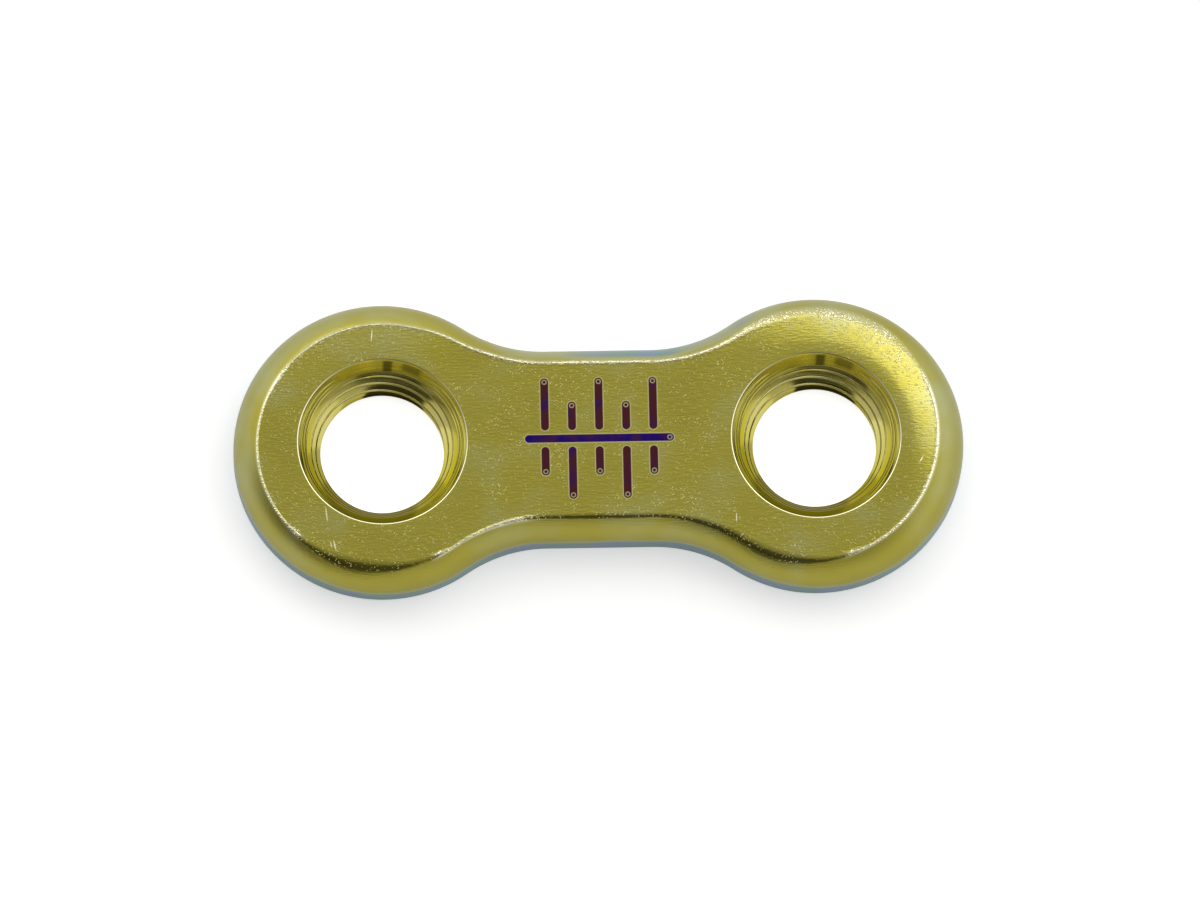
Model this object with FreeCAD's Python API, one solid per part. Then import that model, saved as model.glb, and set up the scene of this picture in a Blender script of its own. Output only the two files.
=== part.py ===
import FreeCAD, Part
import math
import os

os.makedirs("parts", exist_ok=True)

# Driving sizes in millimetres, seen from the screw-entry face
hole_spacing = 16.0
face_rim_width = 1.55
waist_width = 7.3
waist_blend_radius = 5.3

# Driving sizes of the section through the plate
thickness = 2.3
side_height = 0.8
face_inset = 0.83
face_edge_radius = 0.08
bone_edge_radius = 0.2

# Driving sizes of the two screw holes, with their angles in degrees from side to side
opening_diameter = 4.57
land_height = 0.5
thread_cone_angle = 44.0
countersink_depth = 0.55
countersink_angle = 62.0
rim_edge_radius = 0.06
exit_chamfer = 0.12

# A cutting tool reaches this far past the faces that it opens
tool_overshoot = 1.0

# Radii of a hole from the bone-side face up, and of the lobe round it
opening_radius = opening_diameter / 2
thread_depth = thickness - countersink_depth - land_height
mouth_radius = opening_radius + thread_depth * math.tan(math.radians(thread_cone_angle / 2))
rim_flare = math.tan(math.radians(countersink_angle / 2))
rim_radius = mouth_radius + countersink_depth * rim_flare
lobe_radius = rim_radius + face_rim_width + face_inset
lobe_x = hole_spacing / 2


def point(x, y, z):
    return FreeCAD.Vector(x, y, z)


def plan_arc(center_x, center_y, radius, start, end):
    """Arc in the bone-side plane about a centre, between two angles in radians."""
    angles = (start, (start + end) / 2, end)
    ends = [point(center_x + radius * math.cos(a), center_y + radius * math.sin(a), 0) for a in angles]
    return Part.Arc(*ends).toShape()


def outline():
    """Closed line round the plate at its widest: two lobes joined by a straight-sided waist."""
    waist_y = waist_width / 2
    # Each blend arc touches its lobe from outside and runs into the straight waist edge
    blend_y = waist_y + waist_blend_radius
    blend_x = lobe_x - math.sqrt((lobe_radius + waist_blend_radius) ** 2 - blend_y**2)
    touch = math.atan2(blend_y, blend_x - lobe_x)
    down = -math.pi / 2
    waist_edge = Part.LineSegment(point(blend_x, waist_y, 0), point(-blend_x, waist_y, 0))
    upper_half = [
        plan_arc(lobe_x, 0, lobe_radius, 0, touch),
        plan_arc(blend_x, blend_y, waist_blend_radius, touch - math.pi, down),
        waist_edge.toShape(),
        plan_arc(-blend_x, blend_y, waist_blend_radius, down, -touch),
        plan_arc(-lobe_x, 0, lobe_radius, math.pi - touch, math.pi),
    ]
    lower_half = [edge.copy().rotate(point(0, 0, 0), point(0, 0, 1), 180) for edge in upper_half]
    return Part.Wire(upper_half + lower_half)


def section_arc(center_x, center_z, radius, start, end):
    """Arc in the upright plane through the two hole axes, between two angles in radians."""
    angles = (start, (start + end) / 2, end)
    ends = [point(center_x + radius * math.cos(a), 0, center_z + radius * math.sin(a)) for a in angles]
    return Part.Arc(*ends).toShape()


def edge_section():
    """Section of the plate's edge at its right tip, from the bone-side face up to the screw-entry face."""
    side_x = lobe_x + lobe_radius
    corner_x = side_x - bone_edge_radius
    # The flank leaves the side upright and draws in by face_inset as it rises to the face
    flank_rise = thickness - side_height
    flank_radius = (face_inset**2 + flank_rise**2) / (2 * face_inset)
    flank_x = side_x - flank_radius
    # A small round inside the flank's arc touches both the flank and the face
    round_x = flank_radius - face_edge_radius
    round_rise = flank_rise - face_edge_radius
    lean = math.asin(round_rise / round_x)
    face_edge_x = flank_x + round_x * math.cos(lean)
    side = Part.LineSegment(point(side_x, 0, bone_edge_radius), point(side_x, 0, side_height))
    level = 0
    upward = math.pi / 2
    return Part.Wire([
        section_arc(corner_x, bone_edge_radius, bone_edge_radius, -upward, level),
        side.toShape(),
        section_arc(flank_x, side_height, flank_radius, level, lean),
        section_arc(face_edge_x, thickness - face_edge_radius, face_edge_radius, lean, upward),
    ])


def edges_at(shape, height):
    """Edges of a shape that lie in the level plane at this height."""
    low = height - 1e-6
    high = height + 1e-6
    return [e for e in shape.Edges if low < e.BoundBox.ZMin and e.BoundBox.ZMax < high]


def blank():
    """The plate before drilling: its edge section swept round the outline, closed above and below."""
    sweep = Part.BRepOffsetAPI.MakePipeShell(outline())
    sweep.setBiNormalMode(point(0, 0, 1))
    sweep.add(edge_section())
    sweep.build()
    wall = sweep.shape()
    faces = list(wall.Faces)
    for height in (0, thickness):
        rim = Part.Wire(Part.sortEdges(edges_at(wall, height))[0])
        faces.append(Part.Face(rim))
    skin = Part.Shell(faces)
    skin.sewShape()
    return Part.Solid(skin)


def hole_tool(center_x):
    """Turned tool for one screw hole: exit chamfer, land, thread cone and countersink."""
    top = thickness + tool_overshoot
    profile = [
        (0, -tool_overshoot),
        (opening_radius + exit_chamfer + tool_overshoot, -tool_overshoot),
        (opening_radius, exit_chamfer),
        (opening_radius, land_height),
        (mouth_radius, thickness - countersink_depth),
        (rim_radius + tool_overshoot * rim_flare, top),
        (0, top),
        (0, -tool_overshoot),
    ]
    section = Part.Face(Part.makePolygon([point(center_x + r, 0, z) for r, z in profile]))
    return section.revolve(point(center_x, 0, 0), point(0, 0, 1), 360)


def rim_edges(shape):
    """The full circles where the two countersinks meet the screw-entry face."""
    return [e for e in edges_at(shape, thickness) if e.isClosed()]


def plate():
    """The finished plate, drilled from the screw-entry face, with softened countersink rims."""
    drilled = blank().cut([hole_tool(-lobe_x), hole_tool(lobe_x)])
    finished = drilled.makeFillet(rim_edge_radius, rim_edges(drilled))
    return finished.Solids[0]


plate().exportStep("parts/plate.step")
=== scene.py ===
import math

import bmesh
import bpy
from mathutils import Matrix, Vector


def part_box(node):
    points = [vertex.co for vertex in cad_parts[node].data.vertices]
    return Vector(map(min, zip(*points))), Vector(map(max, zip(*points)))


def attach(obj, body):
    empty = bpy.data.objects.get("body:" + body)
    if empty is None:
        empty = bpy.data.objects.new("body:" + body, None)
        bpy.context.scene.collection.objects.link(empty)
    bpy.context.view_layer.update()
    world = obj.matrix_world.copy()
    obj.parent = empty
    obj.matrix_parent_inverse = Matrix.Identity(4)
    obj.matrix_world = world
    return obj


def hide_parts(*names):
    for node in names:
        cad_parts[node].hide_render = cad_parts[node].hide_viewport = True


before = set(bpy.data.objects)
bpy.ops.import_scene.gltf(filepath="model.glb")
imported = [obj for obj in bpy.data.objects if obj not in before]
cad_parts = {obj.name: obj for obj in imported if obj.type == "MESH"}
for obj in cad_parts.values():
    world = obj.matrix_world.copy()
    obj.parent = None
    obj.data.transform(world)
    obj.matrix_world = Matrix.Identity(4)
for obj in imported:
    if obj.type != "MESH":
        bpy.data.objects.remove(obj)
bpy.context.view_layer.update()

# The plate's edge, in millimetres
# One piece of titanium alloy, milled to a figure of eight and rounded towards the screw-entry face.
# The flank was blended by hand on a belt, so the face's edge wanders and softens round the plate.

THICKNESS = 1000 * (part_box("plate")[1].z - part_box("plate")[0].z)
HOLE_SPACING = 16.0
LOBE_X = HOLE_SPACING / 2
LOBE_RADIUS = 1000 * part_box("plate")[1].y
WAIST_Y = 3.65
BLEND_RADIUS = 5.3
BONE_EDGE_RADIUS = 0.2
SIDE_HEIGHT = 0.8
FACE_INSET = 0.83
FACE_EDGE_RADIUS = 0.08
SUPPORT_WIDTH = 0.06
LOBE_MARGIN = 2.05
WAIST_MARGIN = 1.25
# Soft spots of the near edge: how much rounder it is, where along the plate, and how far to both sides
NEAR_SOFT_SPOTS = ((0.64, -8.8, 4.0), (0.25, 0.0, 5.0), (0.52, 6.0, 4.5))

CORNER_STEPS = 5
SIDE_STEPS = 3
FLANK_STEPS = 16
ROUND_STEPS = 8
MARGIN_STEPS = 8
LOBE_STEPS = 96
BLEND_STEPS = 32
WAIST_STEPS = 12

FLANK_FINISH, HOLE_FINISH, MARK_FINISH, FACE_FINISH, BONE_FINISH = range(5)
MERGE_DISTANCE = 1e-4
X_AXIS = Vector((1, 0, 0))
Y_AXIS = Vector((0, 1, 0))
Z_AXIS = Vector((0, 0, 1))


def only(kind, geom):
    return [g for g in geom if isinstance(g, kind)]


def turn_end(bm, end, center, axis, angle, steps):
    """Draws an arc of edges on from a line's end vertex and returns the new end."""
    turned = bmesh.ops.spin(bm, geom=[end], cent=center, axis=axis, angle=angle, steps=steps)
    return only(bmesh.types.BMVert, turned["geom_last"])[0]


def run_end(bm, end, offset, steps=1):
    """Draws straight edges on from a line's end vertex and returns the new end."""
    for _ in range(steps):
        end = bmesh.ops.extrude_vert_indiv(bm, verts=[end])["verts"][0]
        bmesh.ops.translate(bm, verts=[end], vec=offset / steps)
    return end


def smooth_step(low, high, value):
    """0 below the low value, 1 above the high one, and an even S between them."""
    share = min(max((value - low) / (high - low), 0), 1)
    return share * share * (3 - 2 * share)


def hump(center, reach, value):
    """1 at a centre, falling evenly to 0 at a reach to both sides."""
    return 1 - smooth_step(0, reach, abs(value - center))


# The blend arc's centre, and the direction to it from the lobe's centre
blend_y = WAIST_Y + BLEND_RADIUS
blend_x = LOBE_X - math.sqrt((LOBE_RADIUS + BLEND_RADIUS) ** 2 - blend_y**2)
touch_angle = math.atan2(blend_y, blend_x - LOBE_X)

# The milled section at the right tip, drawn from the bone side up and then in across the face
rise = THICKNESS - SIDE_HEIGHT
flank_radius = (FACE_INSET**2 + rise**2) / (2 * FACE_INSET)
side_x = LOBE_X + LOBE_RADIUS
corner_center = Vector((side_x - BONE_EDGE_RADIUS, 0, BONE_EDGE_RADIUS))
flank_center = Vector((side_x - flank_radius, 0, SIDE_HEIGHT))
lean = math.asin((rise - FACE_EDGE_RADIUS) / (flank_radius - FACE_EDGE_RADIUS))
round_center = flank_center + (flank_radius - FACE_EDGE_RADIUS) * Vector((math.cos(lean), 0, math.sin(lean)))

plate_bm = bmesh.new()
row_layer = plate_bm.verts.layers.int.new("row")
film_layer = plate_bm.verts.layers.float.new("film")
rubbed_and_highlight_layer = plate_bm.verts.layers.float.new("rubbed_and_highlight")
end = plate_bm.verts.new((corner_center.x - SUPPORT_WIDTH, 0, 0))
end = run_end(plate_bm, end, X_AXIS * SUPPORT_WIDTH)
end = turn_end(plate_bm, end, corner_center, Y_AXIS, -math.pi / 2, CORNER_STEPS)
end = run_end(plate_bm, end, Z_AXIS * (SIDE_HEIGHT - BONE_EDGE_RADIUS), SIDE_STEPS)
end = turn_end(plate_bm, end, flank_center, Y_AXIS, -lean, FLANK_STEPS)
end = turn_end(plate_bm, end, round_center, Y_AXIS, lean - math.pi / 2, ROUND_STEPS)
run_end(plate_bm, end, X_AXIS * (side_x - LOBE_MARGIN - round_center.x), MARGIN_STEPS)
for row, vert in enumerate(plate_bm.verts):
    vert[row_layer] = row

# The section is swept round a quarter of the outline, then mirrored both ways
last = plate_bm.edges[:]
for center, angle, steps in (
    ((LOBE_X, 0, 0), touch_angle, LOBE_STEPS),
    ((blend_x, blend_y, 0), math.pi / 2 - touch_angle, BLEND_STEPS),
):
    swept = bmesh.ops.spin(plate_bm, geom=last, cent=center, axis=Z_AXIS, angle=angle, steps=steps)
    last = only(bmesh.types.BMEdge, swept["geom_last"])
waist_step = X_AXIS * (-blend_x / WAIST_STEPS)
for _ in range(WAIST_STEPS):
    drawn = bmesh.ops.extrude_edge_only(plate_bm, edges=last)["geom"]
    bmesh.ops.translate(plate_bm, verts=only(bmesh.types.BMVert, drawn), vec=waist_step)
    drawn_edges = only(bmesh.types.BMEdge, drawn)
    last = [e for e in drawn_edges if abs(e.verts[0].co.x - e.verts[1].co.x) < MERGE_DISTANCE]
for axis in ("X", "Y"):
    whole = plate_bm.verts[:] + plate_bm.edges[:] + plate_bm.faces[:]
    bmesh.ops.mirror(plate_bm, geom=whole, matrix=Matrix.Identity(4), merge_dist=MERGE_DISTANCE, axis=axis)
bmesh.ops.remove_doubles(plate_bm, verts=plate_bm.verts, dist=MERGE_DISTANCE)


def beside_outline(place):
    """The outline's outward direction beside a place, and the place's depth inside the outline."""
    quarter = Vector((abs(place.x), abs(place.y), 0))
    from_lobe = quarter - X_AXIS * LOBE_X
    to_blend = Vector((blend_x, blend_y, 0)) - quarter
    if math.atan2(from_lobe.y, from_lobe.x) < touch_angle:
        outward = from_lobe.normalized()
        depth = LOBE_RADIUS - from_lobe.length
    elif quarter.x > blend_x:
        outward = to_blend.normalized()
        depth = to_blend.length - BLEND_RADIUS
    else:
        outward = Y_AXIS
        depth = WAIST_Y - quarter.y
    if place.x < 0:
        outward = Vector((-outward.x, outward.y, 0))
    if place.y < 0:
        outward = Vector((outward.x, -outward.y, 0))
    return outward, depth


def hand_blend(foot, outward):
    """What the belt left: the face's inset, its edge's round and fall, and the right lobe's share."""
    bearing = math.atan2(outward.y, outward.x)
    left = smooth_step(-3.5, -7, foot.x)
    right = smooth_step(3.5, 7, foot.x)
    far = smooth_step(0.2, 0.9, outward.y)
    near = smooth_step(0.2, 0.9, -outward.y)
    # The face lies towards the near side on the left lobe, and keeps back from the tip on the right one
    right_tip = max(math.cos(bearing + math.radians(22)), 0) ** 2
    inset = (1 - left - right) * (0.71 + 0.03 * outward.y)
    inset += left * (0.87 + 0.17 * outward.y)
    inset += right * (0.74 + 0.03 * outward.y + 0.29 * right_tip)
    soft = FACE_EDGE_RADIUS + 0.16 * far
    soft += right * (0.4 * smooth_step(0.5, 0.95, outward.y) + 0.05 * max(outward.x, 0))
    soft += near * sum(extra * hump(x, reach, foot.x) for extra, x, reach in NEAR_SOFT_SPOTS)
    fall = 0.02 * far * left + 0.21 * right * hump(math.radians(40), math.radians(115), bearing)
    return inset, soft, fall, right


def film_stage(foot, outward, height):
    """How far the oxide film has turned there: bronze below 0, gold at 0, hazy straw at 0.5, teal at 1."""
    bearing = math.atan2(outward.y, outward.x)
    far = smooth_step(0, 0.8, outward.y)
    low = smooth_step(1.25, 0.75, height)
    tip = smooth_step(0.3, 0.9, abs(outward.x)) * smooth_step(-0.8, -0.2, outward.y)
    hazy_and_sheen = max(far * (0.12 + 0.55 * hump(2.5, 7.5, foot.x)), (0.25 + 0.05 * outward.x) * tip)
    bronze_and_shade = 0.5 * hump(math.radians(-122), math.radians(50), bearing)
    # Teal and blue low on the side are oxide colour and also a painted reflection of the shaded floor beside
    # the plate; the hazy straw on the far side is partly a painted sheen, and the darker bronze toward the
    # near left partly a painted dark reflection
    return max(low, (hazy_and_sheen - bronze_and_shade) * smooth_step(THICKNESS, THICKNESS - 0.3, height))


# Each row of the swept section moves to where the belt left it
side_top = 1 + CORNER_STEPS + SIDE_STEPS
flank_top = side_top + FLANK_STEPS
round_top = flank_top + ROUND_STEPS
for vert in plate_bm.verts:
    row = vert[row_layer]
    outward, depth = beside_outline(vert.co)
    foot = vert.co + depth * outward
    if row <= side_top:
        vert[film_layer] = film_stage(foot, outward, vert.co.z)
        continue
    inset, soft, fall, right = hand_blend(foot, outward)
    worn_radius = (inset**2 + rise**2) / (2 * inset)
    worn_lean = math.asin((rise - soft) / (worn_radius - soft))
    round_depth = worn_radius - (worn_radius - soft) * math.cos(worn_lean)
    margin = WAIST_MARGIN + (LOBE_MARGIN - WAIST_MARGIN) * smooth_step(4, 6.5, abs(foot.x))
    if row <= flank_top:
        angle = worn_lean * (1 - ((flank_top - row) / FLANK_STEPS) ** 1.5)
        depth = worn_radius * (1 - math.cos(angle))
        height = worn_radius * math.sin(angle)
    elif row <= round_top:
        angle = worn_lean + (math.pi / 2 - worn_lean) * (row - flank_top) / ROUND_STEPS
        depth = round_depth - soft * math.cos(angle)
        height = rise - soft * (1 - math.sin(angle))
    else:
        depth = round_depth + (margin - round_depth) * ((row - round_top) / MARGIN_STEPS) ** 1.6
        height = rise
    fallen = fall * min((margin - depth) / (margin - inset), 1) ** 1.35
    height -= fallen * height / rise
    vert.co = foot - depth * outward
    vert.co.z = SIDE_HEIGHT + height
    vert[film_layer] = film_stage(foot, outward, vert.co.z)
    # Crisp edges, the far edge's line and the fallen corner get the pale colour of rubbed metal: partly
    # wear, partly a painted highlight of the edge lines and of the fallen corner's sheen
    round_start = worn_radius * (1 - math.cos(worn_lean))
    off_round = max(round_start - depth, depth - round_depth, 0)
    crisp_rubbed_and_highlight = smooth_step(0.25, 0.12, soft) * smooth_step(0.45 * soft, 0, off_round)
    far_edge_highlight = 0.7 * smooth_step(0.2, 0.9, outward.y) * (1 - 0.4 * right)
    far_edge_highlight *= hump(flank_top + ROUND_STEPS / 2, ROUND_STEPS / 2 + 3, row)
    fall_rubbed_and_sheen = 1.5 * fallen * smooth_step(0.2, 0.8, outward.y) if row > flank_top else 0
    vert[rubbed_and_highlight_layer] = max(crisp_rubbed_and_highlight, far_edge_highlight, fall_rubbed_and_sheen)
for face in plate_bm.faces:
    on_face = all(v[row_layer] >= flank_top for v in face.verts)
    face.material_index = FACE_FINISH if on_face else FLANK_FINISH

BRONZE_FILM_AND_SHADE = (0.26, 0.228, 0.034, 1)
FILM_GOLD = (0.42, 0.373, 0.058, 1)
STRAW_FILM_AND_SHEEN = (0.46, 0.46, 0.21, 1)
TEAL_FILM_AND_REFLECTION = (0.22, 0.36, 0.34, 1)
BLUE_FILM_AND_REFLECTION = (0.25, 0.33, 0.46, 1)
# Pale bare metal for wear and scratches, also used to paint highlights and glints
PALE_WEAR_AND_HIGHLIGHT = (0.96, 0.92, 0.6, 1)
BELT_LINES_PER_MM = (1.2, 26, 26)


def node(tree, kind, inputs=None, **settings):
    """Adds a shader node with its settings, its constant inputs and its links."""
    made = tree.nodes.new(kind)
    for name, value in settings.items():
        setattr(made, name, value)
    for name, value in (inputs or {}).items():
        if isinstance(value, bpy.types.NodeSocket):
            tree.links.new(value, made.inputs[name])
        else:
            made.inputs[name].default_value = value
    return made


def new_finish(name, roughness):
    """A bare metal material, with its node tree, its shader and its place on the plate."""
    material = bpy.data.materials.new(name)
    material.use_nodes = True
    tree = material.node_tree
    shader = tree.nodes["Principled BSDF"]
    shader.inputs["Metallic"].default_value = 1.0
    shader.inputs["Roughness"].default_value = roughness
    return material, tree, shader, node(tree, "ShaderNodeTexCoord").outputs["Object"]


def mottle(tree, place, per_mm, detail=2.0):
    """Even noise from 0 to 1, with so many grains in a millimetre along X, Y and Z."""
    scaled = node(tree, "ShaderNodeMapping", {"Vector": place, "Scale": [1000 * count for count in per_mm]})
    noise = {"Vector": scaled.outputs[0], "Scale": 1, "Detail": detail}
    return node(tree, "ShaderNodeTexNoise", noise).outputs[0]


def ramp(tree, value, low, high, to_low=0.0, to_high=1.0):
    limits = {"Value": value, "From Min": low, "From Max": high, "To Min": to_low, "To Max": to_high}
    return node(tree, "ShaderNodeMapRange", limits, interpolation_type="SMOOTHSTEP").outputs[0]


def mix_colour(tree, share, first, second):
    return node(tree, "ShaderNodeMix", {0: share, 6: first, 7: second}, data_type="RGBA").outputs[2]


def math_node(tree, operation, first, second, third=0.0):
    return node(tree, "ShaderNodeMath", {0: first, 1: second, 2: third}, operation=operation).outputs[0]


def stored(tree, name):
    """A value that was stored on the plate's vertices."""
    return node(tree, "ShaderNodeAttribute", attribute_name=name).outputs["Fac"]


def film_colour(tree, place, stage, pale_wear_and_glint):
    """The oxide film's colour by its stage, a little uneven, and pale where it is worn and where highlights
    and glints are painted.
    """
    uneven = ramp(tree, mottle(tree, place, (0.4, 0.4, 0.4)), 0.3, 0.7, -0.1, 0.2)
    stage = math_node(tree, "ADD", stage, uneven)
    blotches = ramp(tree, mottle(tree, place, (0.9, 0.9, 0.9)), 0.45, 0.62)
    cold = mix_colour(tree, blotches, TEAL_FILM_AND_REFLECTION, BLUE_FILM_AND_REFLECTION)
    deep = mix_colour(tree, ramp(tree, stage, -0.5, 0), BRONZE_FILM_AND_SHADE, FILM_GOLD)
    warm = mix_colour(tree, ramp(tree, stage, 0, 0.5), deep, STRAW_FILM_AND_SHEEN)
    film = mix_colour(tree, ramp(tree, stage, 0.4, 0.9), warm, cold)
    return mix_colour(tree, pale_wear_and_glint, film, PALE_WEAR_AND_HIGHLIGHT)


def belt_blended():
    """Fine belt lines along the plate, over a film that turns teal and blue low on the side, which also
    paints the reflection of the shaded floor there.
    """
    material, tree, shader, place = new_finish("belt_blended", 0.28)
    pale_wear_and_glint = math_node(tree, "MULTIPLY", stored(tree, "rubbed_and_highlight"), 0.7)
    tree.links.new(film_colour(tree, place, stored(tree, "film"), pale_wear_and_glint), shader.inputs["Base Color"])
    lines = mottle(tree, place, BELT_LINES_PER_MM, 3)
    bumped = node(tree, "ShaderNodeBump", {"Height": lines, "Strength": 0.5, "Distance": 0.00002})
    tree.links.new(bumped.outputs[0], shader.inputs["Normal"])
    return material


edge_finish = belt_blended()

# The screw holes
# Two conical holes for locking screws, turned and thread-milled from the screw-entry face.
# Each has a countersink, a two-start taper thread that runs out into a plain land, and a chamfered exit.

OPENING_RADIUS = 2.285
LAND_HEIGHT = 0.5
THREAD_HALF_ANGLE = math.radians(22)
COUNTERSINK_DEPTH = 0.55
COUNTERSINK_HALF_ANGLE = math.radians(31)
RIM_EDGE_RADIUS = 0.06
EXIT_CHAMFER = 0.12

THREAD_PITCH = 0.417
THREAD_STARTS = 2
THREAD_SHIFT = 0.862
THREAD_HALF_SHARE = 0.15
THREAD_DEPTH = 0.04
THREAD_TOP = 1.6
THREAD_FADE = 0.15

HOLE_STEPS = 160
THREAD_ROW = 0.0125
COUNTERSINK_STEPS = 3
COUNTERSINK_RINGS = (2.01, 1.86)
RING_WIDTH = 0.036
RING_DEPTH = 0.009
NARROW_REFLECTION_BEARING = 85.5
WIDE_REFLECTION_BEARING = 68

mouth_z = THICKNESS - COUNTERSINK_DEPTH
taper = math.tan(THREAD_HALF_ANGLE)
mouth_radius = OPENING_RADIUS + (mouth_z - LAND_HEIGHT) * taper
rim_radius = mouth_radius + COUNTERSINK_DEPTH * math.tan(COUNTERSINK_HALF_ANGLE)
# The rim's round turns from the level face down to the countersink
rim_turn = math.pi / 2 - COUNTERSINK_HALF_ANGLE
rim_tangent = RIM_EDGE_RADIUS * math.tan(rim_turn / 2)
# Below this height the tapering thread no longer reaches into the land
thread_foot = LAND_HEIGHT - THREAD_DEPTH / taper
rim_foot_z = THICKNESS - RIM_EDGE_RADIUS * (1 - math.cos(rim_turn))

hole_bm = bmesh.new()
hole_rubbed_and_highlight_layer = hole_bm.verts.layers.float.new("rubbed_and_highlight")
dark_reflection_layer = hole_bm.verts.layers.float.new("painted_dark_reflection")
end = hole_bm.verts.new((rim_radius + rim_tangent + SUPPORT_WIDTH, 0, THICKNESS))
end = run_end(hole_bm, end, X_AXIS * -SUPPORT_WIDTH)
end = turn_end(hole_bm, end, end.co - Z_AXIS * RIM_EDGE_RADIUS, Y_AXIS, -rim_turn, 6)
flare = Vector((math.tan(COUNTERSINK_HALF_ANGLE), 0, 1))
for ring_z in COUNTERSINK_RINGS:
    ring_middle = Vector((mouth_radius, 0, mouth_z)) + flare * (ring_z - mouth_z)
    groove = flare * (RING_WIDTH / 2)
    end = run_end(hole_bm, end, ring_middle + groove - end.co, COUNTERSINK_STEPS)
    for side in (1, -1):
        end = run_end(hole_bm, end, X_AXIS * (side * RING_DEPTH) - groove, 2)
# From there down the countersink, the thread's cone, the land and the exit chamfer
for stop, steps in (
    ((mouth_radius, 0, mouth_z), COUNTERSINK_STEPS),
    ((OPENING_RADIUS, 0, LAND_HEIGHT), round((mouth_z - LAND_HEIGHT) / THREAD_ROW)),
    ((OPENING_RADIUS, 0, thread_foot), round((LAND_HEIGHT - thread_foot) / THREAD_ROW)),
    ((OPENING_RADIUS, 0, EXIT_CHAMFER), 2),
    ((OPENING_RADIUS + EXIT_CHAMFER, 0, 0), 2),
    ((OPENING_RADIUS + EXIT_CHAMFER + SUPPORT_WIDTH, 0, 0), 1),
):
    end = run_end(hole_bm, end, Vector(stop) - end.co, steps)
bmesh.ops.spin(
    hole_bm,
    geom=hole_bm.edges[:],
    cent=(0, 0, 0),
    axis=Z_AXIS,
    angle=2 * math.pi,
    steps=HOLE_STEPS,
    use_merge=True,
)


def thread_share(height, angle):
    """How deep the thread is cut there: 1 in the groove's middle, 0 on the plain cone and above it."""
    turns = height / THREAD_PITCH - THREAD_STARTS * angle / (2 * math.pi) + THREAD_SHIFT
    away = abs(turns - round(turns))
    run_out = smooth_step(THREAD_TOP, THREAD_TOP - THREAD_FADE, height)
    return smooth_step(THREAD_HALF_SHARE, 0, away) * run_out


def lies_at(item, height):
    """Whether an edge or a face lies level at a height."""
    return all(abs(v.co.z - height) < MERGE_DISTANCE for v in item.verts)


for vert in hole_bm.verts:
    arm = Vector((vert.co.x, vert.co.y, 0))
    bearing = math.atan2(arm.y, arm.x)
    sideways = abs(math.cos(bearing))
    if thread_foot < vert.co.z < mouth_z - MERGE_DISTANCE:
        share = thread_share(vert.co.z, bearing)
        cone = OPENING_RADIUS + (vert.co.z - LAND_HEIGHT) * taper
        radius = max(cone + THREAD_DEPTH * share, OPENING_RADIUS)
        # The lower half of each groove faces up; on the far and near walls it is painted pale as a highlight
        # of the thread's bright lines, and the side walls low down are painted a little pale as their sheen
        lower_half = smooth_step(0, 0.5, thread_share(vert.co.z + 0.02, bearing) - share + 0.25)
        vert[hole_rubbed_and_highlight_layer] = max(
            share * lower_half * smooth_step(0.8, 0.6, sideways),
            0.2 * smooth_step(0.6, 0.9, sideways) * smooth_step(1.5, 1.3, vert.co.z),
        )
    elif mouth_z < vert.co.z < rim_foot_z - MERGE_DISTANCE:
        cone = mouth_radius + (vert.co.z - mouth_z) * math.tan(COUNTERSINK_HALF_ANGLE)
        radius = cone + (arm.length - cone) * smooth_step(0.5, 0.8, sideways)
        # A narrow and a wide dark patch on the far side of each countersink are a painted reflection
        narrow = 0.85 * (1 - smooth_step(2, 4, abs(math.degrees(bearing) - NARROW_REFLECTION_BEARING)))
        wide = 0.65 * (1 - smooth_step(5, 9, abs(math.degrees(bearing) - WIDE_REFLECTION_BEARING)))
        vert[dark_reflection_layer] = max(narrow, wide * smooth_step(1.8, 1.95, vert.co.z))
    else:
        radius = arm.length
    vert.co += arm.normalized() * (radius - arm.length)
    # The rim's round is painted pale as a highlight, least on the far side
    if rim_foot_z + MERGE_DISTANCE < vert.co.z < THICKNESS - MERGE_DISTANCE:
        vert[hole_rubbed_and_highlight_layer] = 1 - 0.75 * smooth_step(0.6, 1, math.sin(bearing))
for face in hole_bm.faces:
    face.material_index = FACE_FINISH if lies_at(face, THICKNESS) else HOLE_FINISH
hole_mesh = bpy.data.meshes.new("screw_hole")
hole_bm.to_mesh(hole_mesh)
hole_bm.free()
# The hole goes to the left lobe, and from there on to the right one
for shift in (-LOBE_X, HOLE_SPACING):
    hole_mesh.transform(Matrix.Translation(X_AXIS * shift))
    plate_bm.from_mesh(hole_mesh)

HOLE_GOLD = (0.52, 0.467, 0.12, 1)
HOLE_EDGE_TINT = (0.62, 0.56, 0.22, 1)
DARK_REFLECTION_BROWN = (0.075, 0.068, 0.045, 1)
TURNING_LINES_PER_MM = 45


def turned():
    """Bright turned metal, with rings as fine as the cutter's feed, painted pale highlights on the rim and
    thread, and a painted dark reflection in each countersink.
    """
    material, tree, shader, place = new_finish("turned", 0.07)
    shader.inputs["Specular Tint"].default_value = HOLE_EDGE_TINT
    with_dark_reflection = mix_colour(tree, stored(tree, "painted_dark_reflection"), HOLE_GOLD, DARK_REFLECTION_BROWN)
    tree.links.new(mix_colour(tree, stored(tree, "rubbed_and_highlight"), with_dark_reflection, PALE_WEAR_AND_HIGHLIGHT), shader.inputs["Base Color"])
    rings = mottle(tree, place, (0.2, 0.2, TURNING_LINES_PER_MM), 1)
    bumped = node(tree, "ShaderNodeBump", {"Height": rings, "Strength": 0.3, "Distance": 0.000006})
    tree.links.new(bumped.outputs[0], shader.inputs["Normal"])
    return material


hole_finish = turned()

# The laser marks
# A plain scale burnt flush into the face between the holes, to show the plate's middle.
# Each stroke has a pale halo, a dark core and a small ring where the beam paused.

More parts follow.
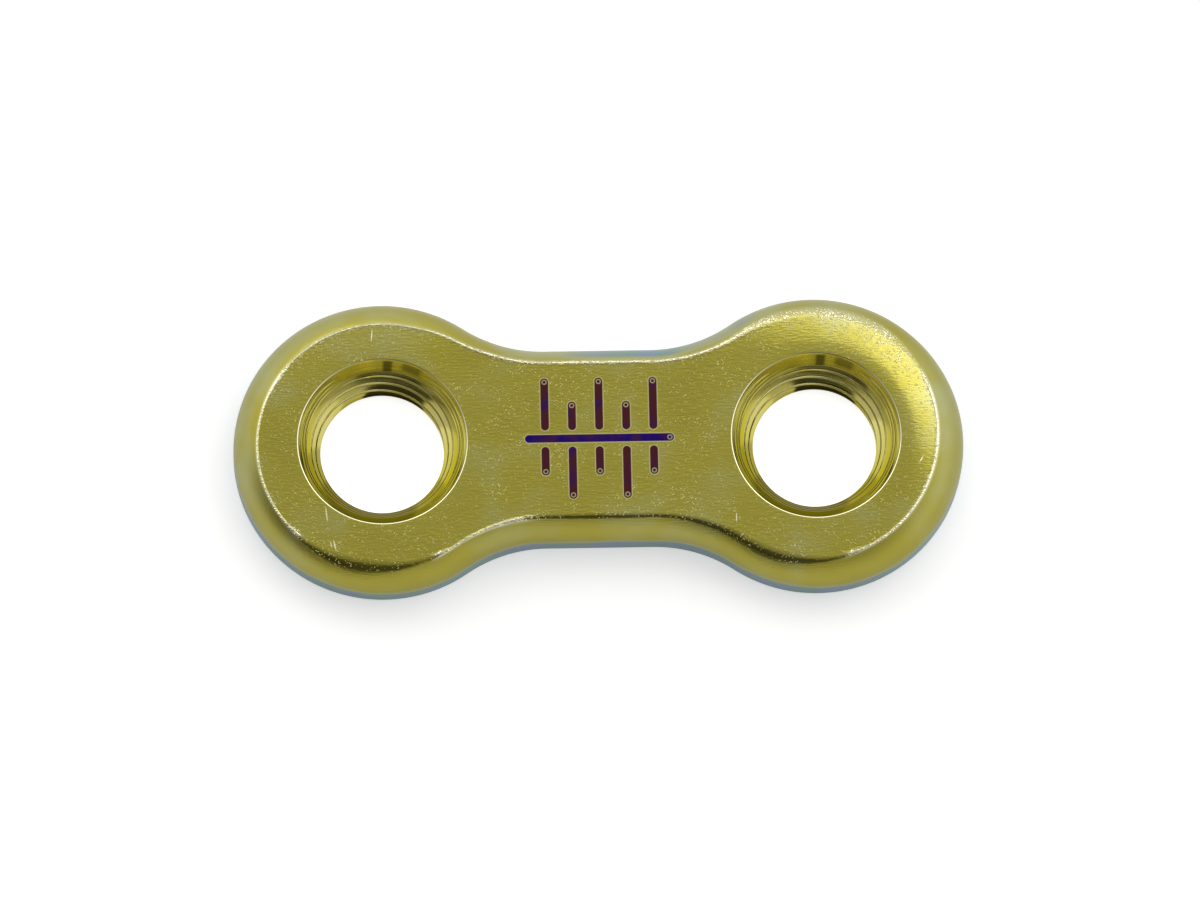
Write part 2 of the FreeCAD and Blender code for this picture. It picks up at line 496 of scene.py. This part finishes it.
STROKE_WIDTH = 0.32
HALO_WIDTH = 0.035
BURN_EDGE_WIDTH = 0.03
PAUSE_RADIUS = 0.11
PAUSE_RING_WIDTH = 0.03
SCALE_HALF_LENGTH = 2.6
TICK_SPACING = 1.0
TICK_GAP = 0.46
LONG_TICK = 2.15
SHORT_TICK = 1.25
STROKE_SIDES = 24
PAUSE_SIDES = 12

marks_bm = bmesh.new()
burn_layer = marks_bm.verts.layers.float.new("burn")
warmth_layer = marks_bm.verts.layers.float.new("warmth")
pause_layer = marks_bm.verts.layers.float.new("pause")


def draw_disc(sides, radius, place):
    """Draws a filled circle in the marks and returns its face."""
    disc = bmesh.ops.create_circle(marks_bm, cap_ends=True, segments=sides, radius=radius, matrix=place)
    return disc["verts"][0].link_faces[0]


def step_in(face, width):
    """Draws a face of the marks in by a width and returns the ring of faces left round it."""
    drawn = bmesh.ops.inset_region(
        marks_bm, faces=[face], thickness=width, use_boundary=True, use_even_offset=True
    )
    return drawn["faces"]


def tint(face, burn, warmth, pause=0.0):
    for vert in face.verts:
        vert[burn_layer] = burn
        vert[warmth_layer] = warmth
        vert[pause_layer] = pause


def burn_stroke(start, stop, warmth):
    """Lays one round-ended stroke in the face, with the beam's pause at its stop."""
    along = stop - start
    turn = Matrix.Rotation(math.atan2(along.y, along.x) + math.pi / STROKE_SIDES, 4, "Z")
    stroke = draw_disc(STROKE_SIDES, STROKE_WIDTH / 2 + HALO_WIDTH, Matrix.Translation(start) @ turn)
    leading = [v for v in stroke.verts if (v.co - start).dot(along) > 0]
    bmesh.ops.translate(marks_bm, verts=leading, vec=along)
    for width, burn in ((HALO_WIDTH, 0.5), (BURN_EDGE_WIDTH, 1.0)):
        step_in(stroke, width)
        tint(stroke, burn, warmth)
    pause = draw_disc(PAUSE_SIDES, PAUSE_RADIUS, Matrix.Translation(stop))
    tint(pause, 1.0, warmth)
    rings = []
    for bright in (1.0, 0.0):
        rings += step_in(pause, PAUSE_RING_WIDTH)
        tint(pause, 1.0, warmth, bright)
    open_edges = stroke.edges[:] + [e for ring in rings for e in ring.edges if e.is_boundary]
    bmesh.ops.delete(marks_bm, geom=[stroke], context="FACES_ONLY")
    bmesh.ops.triangle_fill(marks_bm, use_beauty=True, use_dissolve=False, edges=open_edges)


middle = Z_AXIS * THICKNESS
burn_stroke(middle - X_AXIS * SCALE_HALF_LENGTH, middle + X_AXIS * SCALE_HALF_LENGTH, 0.6)
for tick in range(-2, 3):
    for side in (1, -1):
        reach = LONG_TICK if (tick % 2 == 0) == (side == 1) else SHORT_TICK
        column = middle + X_AXIS * (tick * TICK_SPACING)
        burn_stroke(column + Y_AXIS * (side * TICK_GAP), column + Y_AXIS * (side * reach), 0.0)
for face in marks_bm.faces:
    face.material_index = MARK_FINISH
marks_mesh = bpy.data.meshes.new("laser_marks")
marks_bm.to_mesh(marks_mesh)
marks_bm.free()
plate_bm.from_mesh(marks_mesh)

BURN_BROWN = (0.072, 0.017, 0.023, 1)
BURN_BLUE = (0.017, 0.006, 0.14, 1)
HALO_PALE = (0.50, 0.47, 0.24, 1)


def laser_burnt():
    """Oxide grown by the laser: brown where it was cool, blue where it was hot, in a pale halo."""
    material, tree, shader, place = new_finish("laser_burnt", 0.33)
    burn = stored(tree, "burn")
    uneven = ramp(tree, mottle(tree, place, (1.3, 1.3, 1.3)), 0.35, 0.7, -0.2, 0.5)
    warmth = math_node(tree, "ADD", stored(tree, "warmth"), uneven)
    core = mix_colour(tree, ramp(tree, warmth, 0, 1), BURN_BROWN, BURN_BLUE)
    halo = mix_colour(tree, ramp(tree, burn, 0, 0.45), FILM_GOLD, HALO_PALE)
    stroke = mix_colour(tree, ramp(tree, burn, 0.5, 0.9), halo, core)
    tree.links.new(mix_colour(tree, stored(tree, "pause"), stroke, HALO_PALE), shader.inputs["Base Color"])
    return material


mark_finish = laser_burnt()

# The screw-entry face
# It was milled along the plate, then blasted lightly, which left fine lines and a grain whose specks are
# painted bright as glints.
# A few scratches from handling cross it.

SCRATCHES = (
    ((-8.30, 4.33), (-8.36, 3.74), 0.03),
    ((-10.14, -2.39), (-10.07, -3.09), 0.032),
    ((-9.88, -3.66), (-9.76, -4.18), 0.035),
    ((-9.98, -3.75), (-9.93, -4.02), 0.03),
    ((11.96, -0.80), (11.76, -1.13), 0.03),
    ((4.99, -2.87), (4.98, -3.31), 0.03),
    ((5.25, -3.69), (5.10, -3.80), 0.03),
)
LINES_PER_MM = (4, 15, 15)
SPECKS_PER_MM = (9, 9, 9)
HAIRS_PER_MM = (3, 12, 12)
HAIR_TURNS = (50, -35)


def fill_level(height, finish):
    """Closes the plate at one height, between the outline, the holes and the marks."""
    open_edges = [e for e in plate_bm.edges if e.is_boundary and lies_at(e, height)]
    filled = bmesh.ops.triangle_fill(plate_bm, use_beauty=True, use_dissolve=False, edges=open_edges)
    for face in only(bmesh.types.BMFace, filled["geom"]):
        face.material_index = finish


fill_level(THICKNESS, FACE_FINISH)


def scatter(tree, place, per_mm, turn, reach):
    """Scattered dots, or hairs at a turn in degrees: 1 within reach of a cell's middle, 0 outside it."""
    cell_size = [0.001 / count for count in per_mm]
    cell_frame = {"Vector": place, "Rotation": (0, 0, math.radians(turn)), "Scale": cell_size}
    cells = node(tree, "ShaderNodeMapping", cell_frame, vector_type="TEXTURE").outputs[0]
    away = node(tree, "ShaderNodeTexVoronoi", {"Vector": cells, "Scale": 1}).outputs["Distance"]
    return ramp(tree, math_node(tree, "SUBTRACT", away, reach), -0.05, 0.05, 1.0, 0.0)


def grain(tree, place, shader, strength):
    """Fine lines along the plate under a blasted grain; returns the mask of specks and hairs, which are
    painted bright as glints.
    """
    crowding = ramp(tree, mottle(tree, place, (1.1, 1.1, 1.1), 3), 0.3, 0.7, 0.05, 0.155)
    reach = math_node(tree, "ADD", crowding, math_node(tree, "MULTIPLY", stored(tree, "rubbed_and_highlight"), 0.5))
    specks = scatter(tree, place, SPECKS_PER_MM, 0, reach)
    for turn in HAIR_TURNS:
        specks = math_node(tree, "MAXIMUM", specks, scatter(tree, place, HAIRS_PER_MM, turn, reach))
    lines = mottle(tree, place, LINES_PER_MM, 1)
    raised = math_node(tree, "MULTIPLY_ADD", stored(tree, "rubbed_and_highlight"), 5.0, 1.0)
    height = math_node(tree, "MULTIPLY", math_node(tree, "MULTIPLY_ADD", lines, 0.45, specks), raised)
    bumped = node(tree, "ShaderNodeBump", {"Height": height, "Strength": strength, "Distance": 0.000014})
    tree.links.new(bumped.outputs[0], shader.inputs["Normal"])
    return specks


def vector_node(tree, operation, first, second=(0, 0, 0), third=(0, 0, 0)):
    return node(tree, "ShaderNodeVectorMath", {0: first, 1: second, 2: third}, operation=operation)


def scratch(tree, place, start, stop, width):
    """A spindle-shaped mask over one scratch, from 1 on its line to 0 beside it."""
    run = Vector(stop) - Vector(start)
    frame_of_scratch = {
        "Vector": place,
        "Location": [*(0.0005 * (Vector(start) + Vector(stop))), 0],
        "Rotation": (0, 0, math.atan2(run.y, run.x)),
        "Scale": (0.0005 * run.length, 0.001 * width, 1),
    }
    local = node(tree, "ShaderNodeMapping", frame_of_scratch, vector_type="TEXTURE").outputs[0]
    away = vector_node(tree, "LENGTH", local).outputs["Value"]
    return ramp(tree, away, 0.5, 1.0, 1.0, 0.0)


def glints_and_wear(tree, specks):
    """Share of the pale colour: painted glints on some raised specks, and most on the rubbed edges, where it
    is wear and painted highlight.
    """
    rubbed_and_highlight = stored(tree, "rubbed_and_highlight")
    pale_share = math_node(tree, "ADD", specks, math_node(tree, "MULTIPLY_ADD", rubbed_and_highlight, 0.6, 0.35))
    on_edges = math_node(tree, "MULTIPLY", rubbed_and_highlight, pale_share)
    return math_node(tree, "MULTIPLY_ADD", specks, 0.5, on_edges)


def blasted():
    """Satin gold with fine lines, a grain with painted glints, painted highlights on its edges, and the
    scratches.
    """
    material, tree, shader, place = new_finish("blasted", 0.19)
    pale_wear_and_glint = glints_and_wear(tree, grain(tree, place, shader, 0.8))
    colour = film_colour(tree, place, stored(tree, "film"), pale_wear_and_glint)
    for start, stop, width in SCRATCHES:
        colour = mix_colour(tree, scratch(tree, place, start, stop, width), colour, PALE_WEAR_AND_HIGHLIGHT)
    tree.links.new(colour, shader.inputs["Base Color"])
    return material


face_finish = blasted()

# The bone side
# It is plain and lies flat, with the same lines and grain and no marks.

fill_level(0, BONE_FINISH)


def bone_side():
    """Duller gold, even in colour all over."""
    material, tree, shader, place = new_finish("bone_side", 0.4)
    colour = film_colour(tree, place, 0.0, glints_and_wear(tree, grain(tree, place, shader, 0.5)))
    tree.links.new(colour, shader.inputs["Base Color"])
    return material


bone_finish = bone_side()

# The plate as one piece
# The wall, the holes, the marks and both faces are one closed skin, in metres.

bmesh.ops.remove_doubles(plate_bm, verts=plate_bm.verts, dist=MERGE_DISTANCE)
bmesh.ops.recalc_face_normals(plate_bm, faces=plate_bm.faces)
bmesh.ops.scale(plate_bm, vec=(0.001, 0.001, 0.001), verts=plate_bm.verts)
plate_mesh = bpy.data.meshes.new("plate_body")
plate_bm.to_mesh(plate_mesh)
plate_bm.free()
plate_mesh.shade_smooth()
for finish in (edge_finish, hole_finish, mark_finish, face_finish, bone_finish):
    plate_mesh.materials.append(finish)
plate_body = bpy.data.objects.new("plate_body", plate_mesh)
bpy.context.scene.collection.objects.link(plate_body)
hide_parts("plate")
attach(plate_body, "root")

# The floor
# A plain pale board that the plate lies on, a hair below the bone side.

FLOOR_SIZE = 2.0
FLOOR_GAP = 0.00002
SHADE_PINCH = (0.00005, 0.00063, 0)
SHADE_HEADING = (0.25, 0.968, 0)

floor_bm = bmesh.new()
bmesh.ops.create_grid(floor_bm, x_segments=1, y_segments=1, size=FLOOR_SIZE)
bmesh.ops.translate(floor_bm, verts=floor_bm.verts, vec=(0, 0, -FLOOR_GAP))
floor_mesh = bpy.data.meshes.new("floor")
floor_bm.to_mesh(floor_mesh)
floor_bm.free()


def pale_floor():
    """Matt and pale, and lifted to white to the camera and in the metal, but for a shade under each hole."""
    material = bpy.data.materials.new("pale_floor")
    material.use_nodes = True
    tree = material.node_tree
    tree.nodes.clear()
    place = node(tree, "ShaderNodeTexCoord").outputs["Object"]
    side = vector_node(tree, "SIGN", place).outputs[0]
    from_axis = vector_node(tree, "MULTIPLY_ADD", side, (-0.001 * LOBE_X, 0, 0), place).outputs[0]
    away = vector_node(tree, "LENGTH", from_axis).outputs["Value"]
    beside = ramp(tree, away, 0.0022, 0.0026)
    # The shade fans out both ways from a point beside each hole's axis, and is deeper on the far side
    from_pinch = vector_node(tree, "SUBTRACT", from_axis, SHADE_PINCH).outputs[0]
    heading = vector_node(tree, "NORMALIZE", from_pinch).outputs[0]
    facing = vector_node(tree, "DOT_PRODUCT", heading, SHADE_HEADING).outputs["Value"]
    inward = math_node(tree, "ABSOLUTE", facing, 0.0)
    far_share = ramp(tree, node(tree, "ShaderNodeSeparateXYZ", {0: from_axis}).outputs["Y"], -0.0002, 0.0001)
    deepest = ramp(tree, far_share, 0, 1, 0.6, 0.03)
    deep = node(tree, "ShaderNodeMix", {0: ramp(tree, inward, 0.74, 0.81), 2: 1.0, 3: deepest}).outputs[0]
    fan = math_node(tree, "MULTIPLY", deep, ramp(tree, inward, 0.33, 0.44, 1.0, 0.65))
    clear = math_node(tree, "MAXIMUM", fan, beside)
    under = ramp(tree, away, 0.0005, 0.0013, 0.6, 1.15)
    mirror = node(tree, "ShaderNodeMix", {0: beside, 2: under, 3: 0.22}).outputs[0]
    path = node(tree, "ShaderNodeLightPath")
    glossy = path.outputs["Is Glossy Ray"]
    mirror_lift = math_node(tree, "MULTIPLY", glossy, math_node(tree, "MULTIPLY", mirror, clear))
    camera_ray = path.outputs["Is Camera Ray"]
    camera_lift = math_node(tree, "MULTIPLY", camera_ray, ramp(tree, beside, 0, 1, 0.8, 0.5))
    lift = math_node(tree, "ADD", camera_lift, mirror_lift)
    shaded = math_node(tree, "MULTIPLY", glossy, math_node(tree, "SUBTRACT", 1.0, beside))
    board = mix_colour(tree, shaded, (0.8, 0.8, 0.78, 1), (0.06, 0.06, 0.07, 1))
    matt = node(tree, "ShaderNodeBsdfDiffuse", {"Color": board}).outputs[0]
    glow = node(tree, "ShaderNodeEmission", {"Color": (1, 1, 1, 1), "Strength": lift}).outputs[0]
    lifted = node(tree, "ShaderNodeAddShader", {0: matt, 1: glow}).outputs[0]
    node(tree, "ShaderNodeOutputMaterial", {"Surface": lifted})
    return material


floor_mesh.materials.append(pale_floor())
floor = bpy.data.objects.new("floor", floor_mesh)
bpy.context.scene.collection.objects.link(floor)

# The studio light
# Soft boxes to the left, to the right and behind, in a pale room that is dark round the camera.

# Each quarter's bearing and elevation, where it starts and is full, and its share of the room's light
ROOM_QUARTERS = (
    (-105, 50, 0.2, 0.85, 0.4),
    (-105, 50, 0.86, 0.96, 0.22),
    (-145, 12, 0.6, 0.95, 0.36),
    (-80, 8, 0.9, 0.985, 1.35),
)

world = bpy.data.worlds.new("studio")
bpy.context.scene.world = world
world.use_nodes = True
tree = world.node_tree
tree.nodes.clear()
toward = node(tree, "ShaderNodeTexCoord").outputs["Generated"]


def shade_toward(bearing, elevation, low, high, share):
    """The room's light, which turns to a share of it toward a bearing and an elevation in degrees."""
    level = math.cos(math.radians(elevation))
    middle = Vector((level * math.cos(math.radians(bearing)), level * math.sin(math.radians(bearing)), 0))
    middle.z = math.sin(math.radians(elevation))
    facing = vector_node(tree, "DOT_PRODUCT", toward, middle).outputs["Value"]
    return ramp(tree, facing, low, high, 1.0, share)


shade = 1.0
for quarter in ROOM_QUARTERS:
    shade = math_node(tree, "MULTIPLY", shade, shade_toward(*quarter))
seen = node(tree, "ShaderNodeLightPath").outputs["Is Camera Ray"]
room = node(tree, "ShaderNodeBackground", {"Color": (1, 1, 1, 1), "Strength": shade}).outputs[0]
backdrop = node(tree, "ShaderNodeBackground", {"Color": (1, 1, 1, 1), "Strength": 1.0}).outputs[0]
mixed = node(tree, "ShaderNodeMixShader", {0: seen, 1: room, 2: backdrop}).outputs[0]
node(tree, "ShaderNodeOutputWorld", {"Surface": mixed})


def soft_box(name, bearing, elevation, distance, width, height, radiance):
    """A soft lamp that faces the plate from a bearing and an elevation in degrees, sized in metres."""
    lamp = bpy.data.lights.new(name, "AREA")
    lamp.shape = "RECTANGLE"
    lamp.size = width
    lamp.size_y = height
    lamp.energy = radiance * math.pi * width * height
    holder = bpy.data.objects.new(name, lamp)
    level = Matrix.Rotation(math.radians(bearing), 3, "Z") @ X_AXIS
    place = level * math.cos(math.radians(elevation)) + Z_AXIS * math.sin(math.radians(elevation))
    holder.location = place * distance
    holder.rotation_euler = place.to_track_quat("Z", "Y").to_euler()
    bpy.context.scene.collection.objects.link(holder)


soft_box("left_box", 128, 43, 0.5, 0.34, 0.16, 0.8)
soft_box("right_box", 32, 58, 0.5, 0.34, 0.14, 0.8)
soft_box("back_box", 80, 52, 0.42, 0.5, 0.2, 0.75)

# The camera
# It looks down on the plate from the near side, a little off square, with a long lens.

CAMERA_TURNS = (("Z", 0.01489), ("Y", 0.02614), ("X", -0.24819))
CAMERA_SHIFT_MM = (0.06946, 0.12085)
CAMERA_DISTANCE_MM = 500.0
PIXELS_PER_MM = 27.00582
IMAGE_WIDTH = 1200
SENSOR_WIDTH = 36.0

to_camera = Matrix.Identity(3)
for axis, angle in CAMERA_TURNS:
    to_camera = to_camera @ Matrix.Rotation(angle, 3, axis)
camera_data = bpy.data.cameras.new("camera")
camera_data.sensor_width = SENSOR_WIDTH
camera_data.lens = PIXELS_PER_MM * CAMERA_DISTANCE_MM / IMAGE_WIDTH * SENSOR_WIDTH
camera_data.clip_start = 0.01
camera_data.clip_end = 4
camera = bpy.data.objects.new("camera", camera_data)
to_world = to_camera.transposed()
eye = to_world @ Vector((*CAMERA_SHIFT_MM, CAMERA_DISTANCE_MM)) * 0.001
camera.matrix_world = Matrix.Translation(eye) @ to_world.to_4x4()
bpy.context.scene.collection.objects.link(camera)
bpy.context.scene.camera = camera
bpy.context.scene.view_settings.view_transform = "Standard"
